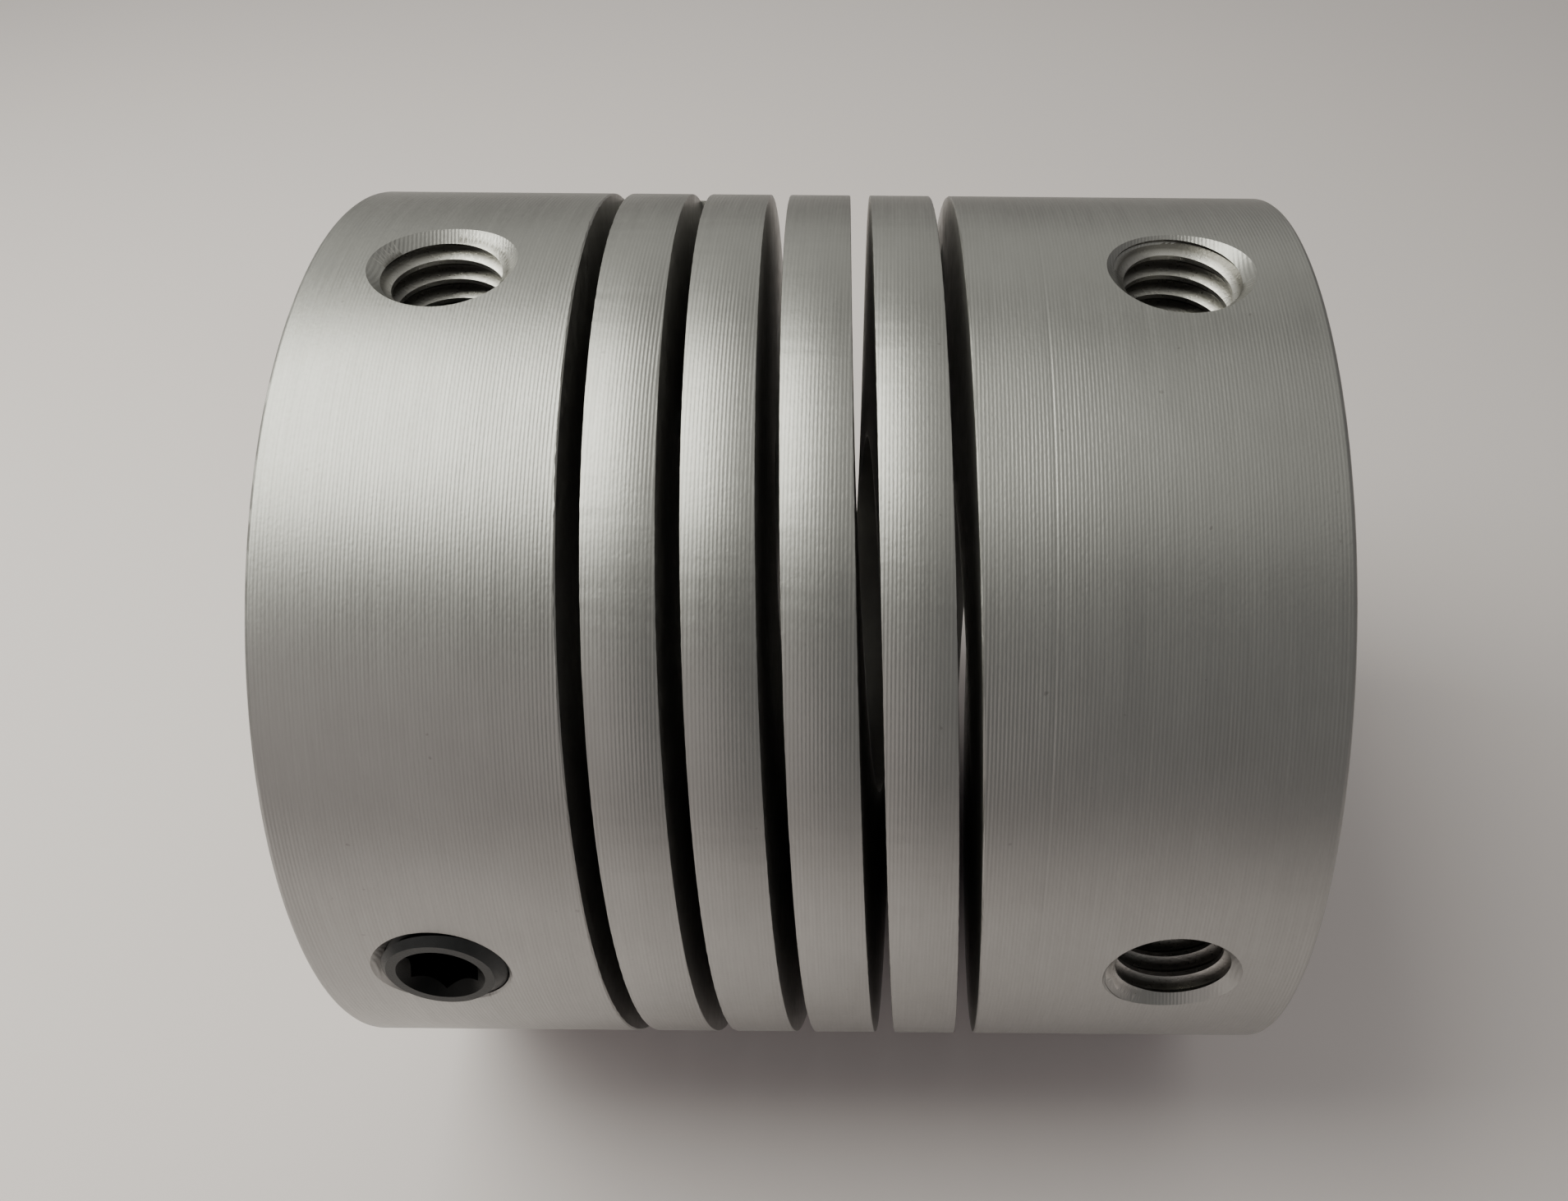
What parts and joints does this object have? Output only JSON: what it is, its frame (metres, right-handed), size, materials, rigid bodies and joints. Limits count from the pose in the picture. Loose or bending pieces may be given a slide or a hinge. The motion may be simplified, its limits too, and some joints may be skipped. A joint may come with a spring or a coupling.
{
  "type": "beam coupling",
  "caption": "Short cylindrical beam coupling with one right-handed helical slot through its middle, a bore for a shaft at each end, and set screws at right angles in each hub.",
  "frame": {"origin": "middle of the coupling on its shaft axis", "axes": "+X along the shaft axis, out of bore_b; +Z out through the top set screws; -Y out through the side set screws"},
  "size_m": [0.03, 0.0302, 0.03],
  "materials": {
    "body_aluminium": "fine turned, satin",
    "set_screw_steel": "black oxide"
  },
  "bodies": {
    "hub_a": {"hub_a": "body_aluminium", "beam_root_a": "body_aluminium"},
    "turn_1": {"beam_turn_1": "body_aluminium"},
    "turn_2": {"beam_turn_2": "body_aluminium"},
    "turn_3": {"beam_turn_3": "body_aluminium"},
    "turn_4": {"beam_turn_4": "body_aluminium"},
    "root_b": {"beam_root_b": "body_aluminium"},
    "hub_b": {"hub_b": "body_aluminium"},
    "screw_a_top": {"set_screw_a_top": "set_screw_steel"},
    "screw_a_side": {"set_screw_a_side": "set_screw_steel"},
    "screw_b_top": {"set_screw_b_top": "set_screw_steel"},
    "screw_b_side": {"set_screw_b_side": "set_screw_steel"}
  },
  "joints": [
    {"name": "bend_y_a", "type": "hinge", "parent": "hub_a", "child": "turn_1", "pos_m": [-0.00525, 0, 0], "axis": [0, 1, 0], "range_deg": [-1.5, 1.5], "stiffness_Nm_per_rad": 2},
    {"name": "bend_z_a", "type": "hinge", "parent": "turn_1", "child": "turn_2", "pos_m": [-0.00323, 0, 0], "axis": [0, 0, 1], "range_deg": [-1.5, 1.5], "stiffness_Nm_per_rad": 2},
    {"name": "stretch", "type": "slide", "parent": "turn_2", "child": "turn_3", "axis": [1, 0, 0], "range_m": [-0.00025, 0.00025], "stiffness_N_per_m": 20000},
    {"name": "bend_y_b", "type": "hinge", "parent": "turn_3", "child": "turn_4", "pos_m": [0.00285, 0, 0], "axis": [0, 1, 0], "range_deg": [-1.5, 1.5], "stiffness_Nm_per_rad": 2},
    {"name": "bend_z_b", "type": "hinge", "parent": "turn_4", "child": "root_b", "pos_m": [0.00487, 0, 0], "axis": [0, 0, 1], "range_deg": [-1.5, 1.5], "stiffness_Nm_per_rad": 2},
    {"name": "wind_up", "type": "hinge", "parent": "root_b", "child": "hub_b", "pos_m": [0.00743, 0, 0], "axis": [1, 0, 0], "range_deg": [-1.5, 1.5], "stiffness_Nm_per_rad": 6},
    {"name": "drive_a_top", "type": "slide", "parent": "hub_a", "child": "screw_a_top", "axis": [0, 0, -1], "range_m": [-0.0028, 0.0007]},
    {"name": "drive_a_side", "type": "slide", "parent": "hub_a", "child": "screw_a_side", "axis": [0, 1, 0], "range_m": [-0.0014, 0.0042]},
    {"name": "drive_b_top", "type": "slide", "parent": "hub_b", "child": "screw_b_top", "axis": [0, 0, -1], "range_m": [-0.0028, 0.0007]},
    {"name": "drive_b_side", "type": "slide", "parent": "hub_b", "child": "screw_b_side", "axis": [0, 1, 0], "range_m": [-0.0028, 0.0007]}
  ]
}
